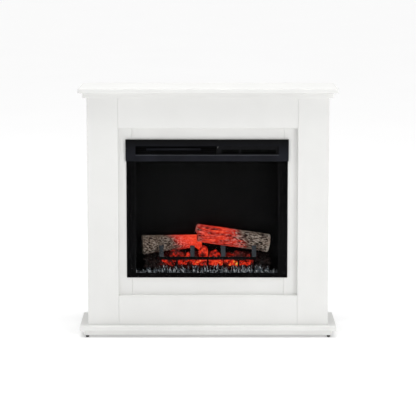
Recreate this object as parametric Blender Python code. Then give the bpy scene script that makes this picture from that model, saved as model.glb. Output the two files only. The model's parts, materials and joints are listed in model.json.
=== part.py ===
"""Free-standing electric fireplace: a painted board surround that holds a glass-fronted insert.

Unit: metre. +X is to the right, +Y towards the wall, +Z up.
The origin lies on the floor, under the middle of the shelf.
"""

import math

import bmesh
import bpy
from mathutils import Matrix, Vector

# Overall sizes and the clearance that touching pieces keep
WIDTH = 1.000
DEPTH = 0.300
HEIGHT = 0.972
GAP = 0.0003

# Boards of the surround
SLAB = 0.018
SLAB_SIDE_OVERHANG = 0.0325
SLAB_FRONT_OVERHANG = 0.030
TIER_SIDE_INSET = 0.0175
TIER_FRONT_INSET = 0.017
MOULDING = 0.019
BASE = 0.020
LEG_WIDTH = 0.120
LEG_BOARD = 0.022
SIDE_BOARD = 0.015
RECESS_BOARD = 0.018
FRIEZE_HEIGHT = 0.1174
RAIL_HEIGHT = 0.1158
BACK_INSET = 0.002
BOARD_CHAMFER = 0.001
STRETCHER_HEIGHT = 0.080
STRETCHER_DROP = 0.055

# Feet
FOOT_RADIUS = 0.007
FOOT_HEIGHT = 0.008
FOOT_INSET = 0.012

# Insert: how it sits in the recess
INSERT_X = -0.0035
SIDE_REVEAL = 0.0318
TOP_REVEAL = 0.0454
BOTTOM_REVEAL = 0.069
CUTOUT_SIDE_LAP = 0.021
CUTOUT_TOP_LAP = 0.0088
CUTOUT_BOTTOM_LAP = 0.0052
CASING_SIDE_CLEARANCE = 0.0085
CASING_HEIGHT_CLEARANCE = 0.003
CASING_DEPTH = 0.188
SHEET = 0.0015

# Header, glass and flange
HEADER_HEIGHT = 0.0844
HEADER_DEPTH = 0.0087
HEADER_STEP = 0.003
SLOT_SIDE_BORDER = 0.0385
SLOT_BOTTOM_BORDER = 0.0235
SLOT_TOP_BORDER = 0.0261
GLASS = 0.004
GLASS_CORNER = 0.005

# Controls behind the right part of the header's slot
CONTROL_LENGTH = 0.2355
SWITCH_WINDOW = 0.068
BUTTON_WINDOW = 0.135
WINDOW_HEIGHT = 0.0157
WINDOW_BOTTOM = 0.0053
WINDOW_DIVIDER = 0.008
WINDOW_MARGIN = 0.0105
PLATE_LAP = 0.006
BUTTON_WIDTH = 0.014
BUTTON_HEIGHT = 0.010
BUTTON_CAP = 0.005
BUTTON_STEM = 0.005
BUTTON_SETBACK = 0.004
BUTTON_LENGTH = 0.014
BUTTON_TRAVEL = 0.0015
ROCKER_WIDTH = 0.022
ROCKER_HEIGHT = 0.012
ROCKER_DEPTH = 0.009
ROCKER_SETBACK = 0.005
ROCKER_TILT = math.radians(7)
BOARD_THICKNESS = 0.0016

# Blower heater, above the heater shelf
SHELF_LIFT = 0.0047
BLOWER_WALL = 0.0012
BLOWER_SEAT = 0.002
IMPELLER_TIP_GAP = 0.004
IMPELLER_BLADES = 18
IMPELLER_BLADE = 0.0012
IMPELLER_BLADE_DEPTH = 0.007
IMPELLER_DISC = 0.002
BLOWER_LEFT_MARGIN = 0.045
BLOWER_RIGHT_MARGIN = 0.030
BLOWER_BACK_MARGIN = 0.012
BLOWER_MOTOR_LENGTH = 0.034
BLOWER_MOTOR_RADIUS = 0.020
SHAFT_RADIUS = 0.003
SHAFT_CLEARANCE = 0.0005
ELEMENT_SETBACK = 0.046
ELEMENT_DEPTH = 0.018
ELEMENT_FRAME = 0.006
ELEMENT_SLIT = 0.004
ELEMENT_SLIT_PITCH = 0.0085
CUTOUT_SWITCH_RADIUS = 0.008
CUTOUT_SWITCH_HEIGHT = 0.009
CUTOUT_SWITCH_SETBACK = 0.030

# Log chamber
SCREEN_SETBACK = 0.110
SCREEN = 0.003
BED_WALL = 0.003
BED_SIDE_MARGIN = 0.030
CHIPS_SIDE_MARGIN = 0.0065
LOG_LEFT_CLEARANCE = 0.0295
LOG_RIGHT_CLEARANCE = 0.0425
LOG_LEFT_SLOPES = (0.13426, 0.04764)
LOG_RIGHT_SLOPES = (0.10318, -0.16090)
LOG_LEFT_TAPER = 0.0628
LOG_RIGHT_TAPER = 0.0035
LOG_SIDES = 20
GRATE_X = 0.0025
GRATE_PITCH = 0.1205
GRATE_UPRIGHTS = 4
GRATE_BAR_WIDTH = 0.017
GRATE_OVERHANG = 0.001
GRATE_THICKNESS = 0.005
GRATE_SETBACK = 0.0195
GRATE_BAR_Z = 0.0565
GRATE_BAR = 0.012
GRATE_TOP = 0.113
LIGHT_BOARD_MARGIN = 0.050

# Flicker rotor, behind the flame screen
ROTOR_LIFT = 0.060
ROTOR_ROD = 0.003
ROTOR_FLAG_REACH = 0.017
ROTOR_FLAG_LENGTH = 0.030
ROTOR_FLAGS = 12
ROTOR_FLAG = 0.0008
ROTOR_MOTOR_LENGTH = 0.018
ROTOR_MOTOR_RADIUS = 0.020

# Brackets, vents, cable entry
BRACKET = 0.002
WALL_BRACKET_INSET = 0.0725
WALL_BRACKET_WIDTH = 0.040
WALL_BRACKET_LEG = 0.036
INSERT_BRACKET_LEG = 0.034
INSERT_BRACKET_HEIGHT = 0.060
SCREW_HOLE_RADIUS = 0.0025
VENT_WIDTH = 0.040
VENT_HEIGHT = 0.005
VENT_PITCH_X = 0.056
VENT_PITCH_Z = 0.012
GLAND_INSET_X = 0.050
GLAND_LIFT = 0.110
GLAND_RADIUS = 0.011
GLAND_BORE = 0.0045
GLAND_LENGTH = 0.014
CONTROL_BOARD_SPACE = 0.002

# Planes worked out from the sizes above
BACK_Y = DEPTH / 2
LEG_FRONT_Y = -DEPTH / 2 + SLAB_FRONT_OVERHANG
RECESS_Y = LEG_FRONT_Y + LEG_BOARD
RECESS_BACK_Y = RECESS_Y + RECESS_BOARD
BODY_BACK_Y = BACK_Y - BACK_INSET
SLAB_Z = FOOT_HEIGHT + BASE
BODY_BOTTOM = SLAB_Z + SLAB
SHELF_Z = HEIGHT - SLAB
BODY_TOP = SHELF_Z - MOULDING
BODY_HALF = WIDTH / 2 - SLAB_SIDE_OVERHANG
OPENING_HALF = BODY_HALF - LEG_WIDTH
FRIEZE_BOTTOM = BODY_TOP - FRIEZE_HEIGHT
RAIL_TOP = BODY_BOTTOM + RAIL_HEIGHT

HEADER_HALF = OPENING_HALF - SIDE_REVEAL
GLASS_HALF = HEADER_HALF - HEADER_STEP
HEADER_TOP = FRIEZE_BOTTOM - TOP_REVEAL
HEADER_BOTTOM = HEADER_TOP - HEADER_HEIGHT
GLASS_BOTTOM = RAIL_TOP + BOTTOM_REVEAL
CUTOUT_HALF = HEADER_HALF - CUTOUT_SIDE_LAP
CUTOUT_TOP = HEADER_TOP - CUTOUT_TOP_LAP
CUTOUT_BOTTOM = GLASS_BOTTOM + CUTOUT_BOTTOM_LAP
CASING_HALF = CUTOUT_HALF - CASING_SIDE_CLEARANCE
CASING_TOP = CUTOUT_TOP - CASING_HEIGHT_CLEARANCE
CASING_BOTTOM = CUTOUT_BOTTOM + CASING_HEIGHT_CLEARANCE

# FACE_Y is the back of the insert's flange; everything in the insert is set back from it
FACE_Y = RECESS_Y - GAP
FLANGE_FRONT_Y = FACE_Y - SHEET
GLASS_BACK_Y = FLANGE_FRONT_Y - GAP
HEADER_FRONT_Y = FACE_Y - HEADER_DEPTH
CASING_Y = FACE_Y + GAP
CASING_BACK_Y = CASING_Y + CASING_DEPTH
ROOM_HALF = CASING_HALF - SHEET - GAP
ROOM_BACK_Y = CASING_BACK_Y - SHEET - GAP
FLOOR_Z = CASING_BOTTOM + SHEET + GAP
ROOM_TOP = CASING_TOP - SHEET - GAP

GLAND_X = INSERT_X + ROOM_HALF - GLAND_INSET_X
GLAND_Z = FLOOR_Z + GLAND_LIFT

SLOT_HALF = HEADER_HALF - SLOT_SIDE_BORDER
SLOT_BOTTOM = HEADER_BOTTOM + SLOT_BOTTOM_BORDER
SLOT_TOP = HEADER_TOP - SLOT_TOP_BORDER
SPLIT_X = INSERT_X + SLOT_HALF - CONTROL_LENGTH
PLATE_Y = CASING_Y + GAP
HEATER_SHELF_Z = HEADER_BOTTOM + SHELF_LIFT
HEATER_FLOOR = HEATER_SHELF_Z + SHEET + GAP


def material(name, colour, roughness, metallic=0.0, alpha=1.0):
    """A Principled finish; colour is linear."""
    made = bpy.data.materials.new(name)
    made.use_nodes = True
    shader = made.node_tree.nodes["Principled BSDF"]
    shader.inputs["Base Color"].default_value = (*colour, 1.0)
    shader.inputs["Roughness"].default_value = roughness
    shader.inputs["Metallic"].default_value = metallic
    shader.inputs["Alpha"].default_value = alpha
    made.diffuse_color = (*colour, alpha)
    return made


def place(name, shape, finish, at=(0.0, 0.0, 0.0)):
    """Turn a bmesh into the object of that name."""
    bmesh.ops.recalc_face_normals(shape, faces=shape.faces)
    mesh = bpy.data.meshes.new(name)
    shape.to_mesh(mesh)
    shape.free()
    if finish:
        mesh.materials.append(finish)
    made = bpy.data.objects.new(name, mesh)
    made.location = at
    bpy.context.scene.collection.objects.link(made)
    return made


def add_box(shape, low, high):
    """Add a box to a bmesh, given its two opposite corners; returns its vertices."""
    low, high = Vector(low), Vector(high)
    size = high - low
    at = Matrix.Translation((low + high) / 2) @ Matrix.Diagonal((*size, 1.0))
    return bmesh.ops.create_cube(shape, size=1.0, matrix=at)["verts"]


def board(name, low, high, finish, chamfer=0.0):
    """A box between two corners, with its origin in its middle and its edges eased."""
    low, high = Vector(low), Vector(high)
    middle = (low + high) / 2
    shape = bmesh.new()
    add_box(shape, low - middle, high - middle)
    made = place(name, shape, finish, middle)
    if chamfer:
        ease = made.modifiers.new("eased_edges", "BEVEL")
        ease.width = chamfer
        ease.segments = 1
        ease.limit_method = "ANGLE"
    return made


def prism(name, outline, axis, start, end, finish, at=(0.0, 0.0, 0.0)):
    """Extrude a closed outline along an axis. Its points hold the other two axes, in X, Y, Z order."""
    shape = bmesh.new()
    first = [shape.verts.new(Vector(point)) for point in place_points(outline, axis, start)]
    face = shape.faces.new(first)
    grown = bmesh.ops.extrude_face_region(shape, geom=[face])["geom"]
    step = Vector(place_points([(0.0, 0.0)], axis, end - start)[0])
    moved = [item for item in grown if isinstance(item, bmesh.types.BMVert)]
    bmesh.ops.translate(shape, vec=step, verts=moved)
    return place(name, shape, finish, at)


def place_points(outline, axis, along):
    """Lift two-number points into space, with the third number on the given axis."""
    if axis == "X":
        return [(along, a, b) for a, b in outline]
    if axis == "Y":
        return [(a, along, b) for a, b in outline]
    return [(a, b, along) for a, b in outline]


def turned(name, profile, axis, at, finish, steps=32, ring=False):
    """Turn (radius, distance) points about an axis. A ring's profile closes on itself."""
    shape = bmesh.new()
    points = [shape.verts.new((radius, 0.0, along)) for radius, along in profile]
    edges = [shape.edges.new(pair) for pair in zip(points, points[1:])]
    if ring:
        edges.append(shape.edges.new((points[-1], points[0])))
    bmesh.ops.spin(
        shape,
        geom=points + edges,
        cent=(0, 0, 0),
        axis=(0, 0, 1),
        angle=math.tau,
        steps=steps,
        use_merge=True,
    )
    bmesh.ops.remove_doubles(shape, verts=shape.verts, dist=1e-6)
    turn = {"X": Matrix.Rotation(math.pi / 2, 4, "Y"), "Y": Matrix.Rotation(-math.pi / 2, 4, "X")}
    bmesh.ops.transform(shape, matrix=turn.get(axis, Matrix()), verts=shape.verts)
    made = place(name, shape, finish, at)
    made.data.shade_smooth()
    made.data.set_sharp_from_angle(angle=math.radians(35))
    return made


def join(target, tool, operation):
    """Cut a guide out of a piece, or unite it with the piece. The guide itself is never part of the model."""
    change = target.modifiers.new(tool.name, "BOOLEAN")
    change.operation = operation
    change.solver = "EXACT"
    change.object = tool
    tool.hide_render = True
    tool.display_type = "WIRE"


def boxes(name, corners):
    """A guide made of separate boxes."""
    shape = bmesh.new()
    for low, high in corners:
        add_box(shape, low, high)
    return place(name, shape, None)


def hole(name, axis, centre, radius, length):
    """A round guide that drills a hole right through, centred on a point."""
    profile = [(0, -length / 2), (radius, -length / 2), (radius, length / 2), (0, length / 2)]
    return turned(name, profile, axis, centre, None, steps=24)


def mirrored(side, low_x, high_x):
    """The X range of a piece on the left (-1) or the right (1), given its range on the right."""
    return (low_x, high_x) if side > 0 else (-high_x, -low_x)


def arc(centre, radius, start, end, steps):
    """Points along an arc, angles in degrees."""
    angles = [math.radians(start + (end - start) * i / steps) for i in range(steps + 1)]
    return [(centre[0] + radius * math.cos(a), centre[1] + radius * math.sin(a)) for a in angles]


def make_surround(white, black_rubber, zinc):
    """Shelf, legs, recess panel and hearth, all of them painted boards."""
    edge = BOARD_CHAMFER
    slab_half = WIDTH / 2
    tier_half = slab_half - TIER_SIDE_INSET
    tier_y = -BACK_Y + TIER_FRONT_INSET
    low, high = BODY_BOTTOM + GAP, BODY_TOP - GAP

    board("mantel_shelf", (-slab_half, -BACK_Y, SHELF_Z), (slab_half, BACK_Y, HEIGHT), white, edge)
    board(
        "shelf_moulding",
        (-tier_half, tier_y, BODY_TOP),
        (tier_half, BODY_BACK_Y, SHELF_Z - GAP),
        white,
        edge,
    )
    board(
        "hearth_slab",
        (-slab_half, -BACK_Y, SLAB_Z),
        (slab_half, BACK_Y, BODY_BOTTOM),
        white,
        edge,
    )
    board(
        "hearth_base",
        (-tier_half, tier_y, FOOT_HEIGHT),
        (tier_half, BODY_BACK_Y, SLAB_Z - GAP),
        white,
        edge,
    )
    for word, z0, z1 in (
        ("frieze_board", FRIEZE_BOTTOM, high),
        ("bottom_rail", low, RAIL_TOP),
    ):
        board(
            word,
            (-OPENING_HALF + GAP, LEG_FRONT_Y, z0),
            (OPENING_HALF - GAP, RECESS_Y - GAP, z1),
            white,
            edge,
        )
    for word, z0, z1 in (
        ("recess_rail_top", CUTOUT_TOP, high),
        ("recess_rail_bottom", low, CUTOUT_BOTTOM),
    ):
        board(
            word,
            (-CUTOUT_HALF + GAP, RECESS_Y, z0),
            (CUTOUT_HALF - GAP, RECESS_BACK_Y, z1),
            white,
            edge,
        )
    for word, side in (("left", -1), ("right", 1)):
        x0, x1 = mirrored(side, OPENING_HALF, BODY_HALF)
        board(f"{word}_leg_front", (x0, LEG_FRONT_Y, low), (x1, RECESS_Y - GAP, high), white, edge)
        x0, x1 = mirrored(side, BODY_HALF - SIDE_BOARD, BODY_HALF)
        board(f"{word}_side_panel", (x0, RECESS_Y, low), (x1, BODY_BACK_Y, high), white, edge)
        x0, x1 = mirrored(side, CUTOUT_HALF, BODY_HALF - SIDE_BOARD - GAP)
        board(f"recess_stile_{word}", (x0, RECESS_Y, low), (x1, RECESS_BACK_Y, high), white, edge)
        wall_bracket(word, side, zinc)
        for place_word, y in (
            ("front", tier_y + FOOT_INSET),
            ("back", BODY_BACK_Y - FOOT_INSET),
        ):
            foot(f"foot_{place_word}_{word}", side * (tier_half - FOOT_INSET), y, black_rubber)

    stretcher_half = BODY_HALF - SIDE_BOARD - GAP
    stretcher_top = BODY_TOP - STRETCHER_DROP
    board(
        "back_stretcher",
        (-stretcher_half, BODY_BACK_Y - RECESS_BOARD, stretcher_top - STRETCHER_HEIGHT),
        (stretcher_half, BODY_BACK_Y, stretcher_top),
        white,
        edge,
    )


def foot(name, x, y, finish):
    """A short round glide under the hearth."""
    top = FOOT_HEIGHT - GAP
    profile = [(0, 0), (FOOT_RADIUS * 0.8, 0), (FOOT_RADIUS, top * 0.3), (FOOT_RADIUS, top), (0, top)]
    turned(name, profile, "Z", (x, y, 0), finish, steps=20)


def wall_bracket(word, side, finish):
    """An angle that ties the surround to the wall, under the back of the moulding."""
    back, top = BODY_BACK_Y, BODY_TOP - GAP
    outline = [
        (back, top),
        (back, top - WALL_BRACKET_LEG),
        (back - BRACKET, top - WALL_BRACKET_LEG),
        (back - BRACKET, top - BRACKET),
        (back - WALL_BRACKET_LEG, top - BRACKET),
        (back - WALL_BRACKET_LEG, top),
    ]
    half = WALL_BRACKET_WIDTH / 2
    x = side * (BODY_HALF - SIDE_BOARD - WALL_BRACKET_INSET)
    made = prism(f"wall_bracket_{word}", outline, "X", x - half, x + half, finish)
    for number, offset in enumerate((-half / 2, half / 2)):
        centre = (x + offset, back, top - WALL_BRACKET_LEG * 0.6)
        drill = hole(f"drill_wall_{word}_{number}", "Y", centre, SCREW_HOLE_RADIUS, 4 * BRACKET)
        join(made, drill, "DIFFERENCE")


def insert_bracket(word, side, finish):
    """An angle behind the recess panel that holds the casing's side."""
    x = INSERT_X + side * (CASING_HALF + GAP)
    y = RECESS_BACK_Y + GAP
    leg = INSERT_BRACKET_LEG
    outline = [
        (x, y),
        (x + side * leg, y),
        (x + side * leg, y + BRACKET),
        (x + side * BRACKET, y + BRACKET),
        (x + side * BRACKET, y + leg),
        (x, y + leg),
    ]
    middle = (CASING_TOP + CASING_BOTTOM) / 2
    half = INSERT_BRACKET_HEIGHT / 2
    prism(f"insert_bracket_{word}", outline, "Z", middle - half, middle + half, finish)


def make_casing(steel, zinc):
    """Sheet-steel box of the insert, with its flange, heater shelf and fixing angles."""
    x0, x1 = INSERT_X - CASING_HALF, INSERT_X + CASING_HALF
    inner0, inner1 = INSERT_X - ROOM_HALF, INSERT_X + ROOM_HALF
    for word, z in (("casing_floor", CASING_BOTTOM), ("casing_top", CASING_TOP - SHEET)):
        board(word, (x0, CASING_Y, z), (x1, CASING_BACK_Y, z + SHEET), steel)
    for word, side in (("left", -1), ("right", 1)):
        wall = sorted((INSERT_X + side * CASING_HALF, INSERT_X + side * (CASING_HALF - SHEET)))
        board(
            f"casing_{word}",
            (wall[0], CASING_Y, FLOOR_Z),
            (wall[1], CASING_BACK_Y, ROOM_TOP),
            steel,
        )
        strip = sorted(
            (INSERT_X + side * GLASS_HALF, INSERT_X + side * (CASING_HALF - BED_SIDE_MARGIN / 3))
        )
        board(
            f"flange_{word}",
            (strip[0], FLANGE_FRONT_Y, GLASS_BOTTOM),
            (strip[1], FACE_Y, HEADER_BOTTOM - GAP),
            steel,
        )
        insert_bracket(word, side, zinc)
    board(
        "flange_bottom",
        (INSERT_X - CASING_HALF + BED_SIDE_MARGIN / 3 + GAP, FLANGE_FRONT_Y, GLASS_BOTTOM),
        (INSERT_X + CASING_HALF - BED_SIDE_MARGIN / 3 - GAP, FACE_Y, FLOOR_Z),
        steel,
    )
    back = board(
        "casing_back",
        (inner0, CASING_BACK_Y - SHEET, FLOOR_Z),
        (inner1, CASING_BACK_Y, ROOM_TOP),
        steel,
    )
    join(back, boxes("cut_back_vents", vent_corners()), "DIFFERENCE")
    entry = hole("cut_cable_entry", "Y", (GLAND_X, CASING_BACK_Y, GLAND_Z), GLAND_BORE, 6 * SHEET)
    join(back, entry, "DIFFERENCE")
    board(
        "heater_shelf",
        (inner0, CASING_Y + 2 * GAP, HEATER_SHELF_Z),
        (inner1, ROOM_BACK_Y, HEATER_SHELF_Z + SHEET),
        steel,
    )


def vent_corners():
    """Rows of air slots at the top of the casing's back, as many as its width takes."""
    columns = int((2 * ROOM_HALF - VENT_WIDTH) / VENT_PITCH_X)
    first = INSERT_X - (columns - 1) * VENT_PITCH_X / 2
    found = []
    for row in range(3):
        z = ROOM_TOP - VENT_PITCH_Z * (row + 1)
        for column in range(columns):
            x = first + column * VENT_PITCH_X
            low = (x - VENT_WIDTH / 2, CASING_BACK_Y - 2 * SHEET, z - VENT_HEIGHT)
            high = (x + VENT_WIDTH / 2, CASING_BACK_Y + SHEET, z)
            found.append((low, high))
    return found


def make_front(header_steel, glass, steel):
    """The folded header with its slot, the deflector behind it, and the glass."""
    header = board(
        "firebox_header",
        (INSERT_X - HEADER_HALF, HEADER_FRONT_Y, HEADER_BOTTOM),
        (INSERT_X + HEADER_HALF, FACE_Y, HEADER_TOP),
        header_steel,
    )
    hollow = boxes(
        "cut_header",
        [
            (
                (INSERT_X - HEADER_HALF + SHEET, HEADER_FRONT_Y + SHEET, HEADER_BOTTOM + SHEET),
                (INSERT_X + HEADER_HALF - SHEET, FACE_Y + SHEET, HEADER_TOP - SHEET),
            )
        ],
    )
    join(header, hollow, "DIFFERENCE")
    slot = boxes(
        "cut_header_slot",
        [
            (
                (INSERT_X - SLOT_HALF, HEADER_FRONT_Y - SHEET, SLOT_BOTTOM),
                (INSERT_X + SLOT_HALF, FACE_Y, SLOT_TOP),
            )
        ],
    )
    join(header, slot, "DIFFERENCE")

    louvre_left, louvre_right = INSERT_X - SLOT_HALF, SPLIT_X - GAP
    louvre = board(
        "outlet_louvre",
        (louvre_left - PLATE_LAP, PLATE_Y, SLOT_BOTTOM - PLATE_LAP),
        (louvre_right, PLATE_Y + SHEET, SLOT_TOP + PLATE_LAP),
        steel,
    )
    window = boxes(
        "cut_louvre",
        [
            (
                (louvre_left, PLATE_Y - SHEET, SLOT_BOTTOM),
                (louvre_right - PLATE_LAP, PLATE_Y + 2 * SHEET, SLOT_TOP),
            )
        ],
    )
    join(louvre, window, "DIFFERENCE")
    join(louvre, louvre_blades(louvre_left, louvre_right - PLATE_LAP), "UNION")

    pane = board(
        "front_glass",
        (INSERT_X - GLASS_HALF, GLASS_BACK_Y - GLASS, GLASS_BOTTOM),
        (INSERT_X + GLASS_HALF, GLASS_BACK_Y, HEADER_BOTTOM - GAP),
        glass,
    )
    for number, side in enumerate((-1, 1)):
        join(pane, corner_guide(f"cut_glass_corner_{number}", side), "DIFFERENCE")


def corner_guide(name, side):
    """A three-sided guide that takes a lower corner off the glass."""
    x, z, reach = INSERT_X + side * GLASS_HALF, GLASS_BOTTOM, GLASS_CORNER
    outline = [
        (x + side * reach, z - reach),
        (x - side * reach / 2, z - reach / 2),
        (x + side * reach / 2, z + 1.5 * reach),
    ]
    return prism(name, outline, "Y", GLASS_BACK_Y - 2 * GLASS, GLASS_BACK_Y + GLASS, None)


def louvre_blades(x0, x1):
    """Two tilted blades that throw the warm air outwards and down."""
    shape = bmesh.new()
    depth, middle_y = 0.010, PLATE_Y + 0.004
    for share in (0.36, 0.70):
        z = SLOT_BOTTOM + (SLOT_TOP - SLOT_BOTTOM) * share
        low = (x0 - PLATE_LAP / 2, -depth / 2, -SHEET / 2)
        high = (x1 + PLATE_LAP / 2, depth / 2, SHEET / 2)
        blade = add_box(shape, low, high)
        turn = Matrix.Translation((0, middle_y, z)) @ Matrix.Rotation(math.radians(28), 4, "X")
        bmesh.ops.transform(shape, matrix=turn, verts=blade)
    return place("add_louvre_blades", shape, None)


def make_controls(plastic, board_green):
    """Control plate, its board, the rocker switch and the three push buttons."""
    x0, x1 = SPLIT_X, INSERT_X + SLOT_HALF + PLATE_LAP
    plate = board(
        "control_plate",
        (x0, PLATE_Y, SLOT_BOTTOM - PLATE_LAP),
        (x1, PLATE_Y + SHEET, SLOT_TOP + PLATE_LAP),
        plastic,
    )
    z0 = SLOT_BOTTOM + WINDOW_BOTTOM
    z1 = z0 + WINDOW_HEIGHT
    button_end = INSERT_X + SLOT_HALF - WINDOW_MARGIN
    button_start = button_end - BUTTON_WINDOW
    switch_end = button_start - WINDOW_DIVIDER
    switch_start = switch_end - SWITCH_WINDOW
    windows = boxes(
        "cut_control_windows",
        [
            ((start, PLATE_Y - SHEET, z0), (end, PLATE_Y + 2 * SHEET, z1))
            for start, end in ((switch_start, switch_end), (button_start, button_end))
        ],
    )
    join(plate, windows, "DIFFERENCE")

    middle_z = (z0 + z1) / 2
    rocker_y = PLATE_Y + ROCKER_SETBACK + ROCKER_DEPTH
    rocker(((switch_start + switch_end) / 2, rocker_y, middle_z), plastic)
    pitch = BUTTON_WINDOW / 3
    for number, word in enumerate(("flame", "low_heat", "high_heat")):
        centre_x = button_start + pitch * (number + 0.5)
        button(f"{word}_button", centre_x, PLATE_Y + BUTTON_SETBACK, middle_z, plastic)

    board_y = PLATE_Y + BUTTON_SETBACK + BUTTON_LENGTH + BUTTON_TRAVEL + CONTROL_BOARD_SPACE
    board(
        "control_board",
        (switch_start, board_y, HEATER_FLOOR + 0.002),
        (button_end, board_y + BOARD_THICKNESS, ROOM_TOP - 0.006),
        board_green,
    )


def rocker(centre, finish):
    """The power rocker. Its origin is on its pivot, and it rests with its upper half pressed."""
    half, depth = ROCKER_HEIGHT / 2, ROCKER_DEPTH
    outline = [
        (-depth, half),
        (-depth + half * math.tan(ROCKER_TILT), 0.0),
        (-depth, -half),
        (-depth * 0.3, -half),
        *arc((0.0, 0.0), half * 0.55, 250, 110 + 360, 8),
        (-depth * 0.3, half),
    ]
    half_width = ROCKER_WIDTH / 2
    made = prism("power_rocker", outline, "X", -half_width, half_width, finish, centre)
    made.rotation_euler = (-ROCKER_TILT, 0.0, 0.0)


def button(name, x, y, z, finish):
    """A square cap on a narrower stem; its origin is in the middle of its front."""
    cap, stem = BUTTON_WIDTH / 2, BUTTON_STEM / 2
    outline = [
        (-cap, 0.0005),
        (-cap + 0.0005, 0.0),
        (cap - 0.0005, 0.0),
        (cap, 0.0005),
        (cap, BUTTON_CAP),
        (stem, BUTTON_CAP),
        (stem, BUTTON_LENGTH),
        (-stem, BUTTON_LENGTH),
        (-stem, BUTTON_CAP),
        (-cap, BUTTON_CAP),
    ]
    half = BUTTON_HEIGHT / 2
    prism(name, outline, "Z", -half, half, finish, (x, y, z))


def make_heater(zinc, plastic, ceramic, motor_steel):
    """Tangential blower with its motor, the heating element and its thermal cut-out."""
    half_room = (ROOM_TOP - HEATER_FLOOR) / 2
    outer = half_room - BLOWER_SEAT
    tip = outer - BLOWER_WALL - IMPELLER_TIP_GAP
    centre = (ROOM_BACK_Y - BLOWER_BACK_MARGIN - outer, HEATER_FLOOR + half_room)
    left = INSERT_X - SLOT_HALF + BLOWER_LEFT_MARGIN
    motor_start = SPLIT_X - BLOWER_RIGHT_MARGIN - BLOWER_MOTOR_LENGTH
    stub = 0.008
    right = motor_start - GAP - stub

    wheel_at, half = ((left + right) / 2, *centre), (right - left) / 2
    wheel = impeller_end("blower_impeller", -1, half, wheel_at, tip, stub, zinc)
    far_end = impeller_end("add_impeller_end", 1, half, wheel_at, tip, stub, None)
    join(wheel, impeller_blades(half, wheel_at, tip), "UNION")
    join(wheel, far_end, "UNION")

    wall_start, wall_end = left - BLOWER_WALL - 0.002, right + BLOWER_WALL + 0.002
    scroll = arc(centre, outer, 60, -150, 28)
    scroll += arc(centre, outer - BLOWER_WALL, -150, 60, 28)
    housing = prism("blower_housing", scroll, "X", wall_start, wall_end, zinc)
    cheeks = [
        (
            (x, centre[0] - outer * 0.62, centre[1] - outer * 0.78),
            (x + BLOWER_WALL, centre[0] + outer * 0.62, centre[1] + outer * 0.70),
        )
        for x in (wall_start, wall_end - BLOWER_WALL)
    ]
    join(housing, boxes("add_blower_cheeks", cheeks), "UNION")
    bore = hole(
        "cut_blower_bore",
        "X",
        ((left + right) / 2, *centre),
        SHAFT_RADIUS + SHAFT_CLEARANCE,
        right - left + 0.1,
    )
    join(housing, bore, "DIFFERENCE")

    turned(
        "blower_motor",
        [
            (0, 0),
            (SHAFT_RADIUS * 2, 0),
            (SHAFT_RADIUS * 2, 0.003),
            (BLOWER_MOTOR_RADIUS, 0.004),
            (BLOWER_MOTOR_RADIUS, BLOWER_MOTOR_LENGTH - 0.003),
            (BLOWER_MOTOR_RADIUS - 0.003, BLOWER_MOTOR_LENGTH),
            (0, BLOWER_MOTOR_LENGTH),
        ],
        "X",
        (motor_start, *centre),
        motor_steel,
    )

    element_y = PLATE_Y + ELEMENT_SETBACK
    element_low = (left, element_y, HEATER_FLOOR + 0.004)
    element_high = (right, element_y + ELEMENT_DEPTH, ROOM_TOP - 0.004)
    element = board("heating_element", element_low, element_high, ceramic)
    gaps = int((right - left - 2 * ELEMENT_FRAME - ELEMENT_SLIT) / ELEMENT_SLIT_PITCH)
    first = (left + right - gaps * ELEMENT_SLIT_PITCH - ELEMENT_SLIT) / 2
    slits = []
    for number in range(gaps + 1):
        x = first + number * ELEMENT_SLIT_PITCH
        low = (x, element_y - 0.002, element_low[2] + ELEMENT_FRAME)
        high = (x + ELEMENT_SLIT, element_y + ELEMENT_DEPTH + 0.002, element_high[2] - ELEMENT_FRAME)
        slits.append((low, high))
    join(element, boxes("cut_element_slits", slits), "DIFFERENCE")

    radius, height = CUTOUT_SWITCH_RADIUS, CUTOUT_SWITCH_HEIGHT
    turned(
        "thermal_cutout",
        [(0, 0), (radius * 0.7, 0), (radius * 0.7, height / 2), (radius, height / 2)]
        + [(radius, height), (0, height)],
        "Z",
        (right - 2 * radius, PLATE_Y + CUTOUT_SWITCH_SETBACK, ROOM_TOP - height),
        plastic,
        steps=20,
    )


def impeller_end(name, side, half, at, tip, stub, finish):
    """One end disc of the blower wheel with its shaft stub, turned in one profile."""
    profile = [
        (0, half - IMPELLER_DISC),
        (tip, half - IMPELLER_DISC),
        (tip, half),
        (SHAFT_RADIUS, half),
        (SHAFT_RADIUS, half + stub),
        (0, half + stub),
    ]
    profile = [(radius, side * along) for radius, along in profile]
    return turned(name, profile, "X", at, finish, steps=36)


def impeller_blades(wheel_half, at, tip):
    """A ring of tilted blades from disc to disc."""
    shape = bmesh.new()
    half = wheel_half - IMPELLER_DISC / 2
    for number in range(IMPELLER_BLADES):
        low = (-half, -IMPELLER_BLADE / 2, -IMPELLER_BLADE_DEPTH / 2)
        high = (half, IMPELLER_BLADE / 2, IMPELLER_BLADE_DEPTH / 2)
        blade = add_box(shape, low, high)
        lean = Matrix.Rotation(math.radians(25), 4, "X")
        out = Matrix.Translation((0, 0, tip - IMPELLER_BLADE_DEPTH / 2 - 0.001))
        round_axis = Matrix.Rotation(math.tau * number / IMPELLER_BLADES, 4, "X")
        bmesh.ops.transform(shape, matrix=round_axis @ out @ lean, verts=blade)
    return place("add_impeller_blades", shape, None, at)


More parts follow.
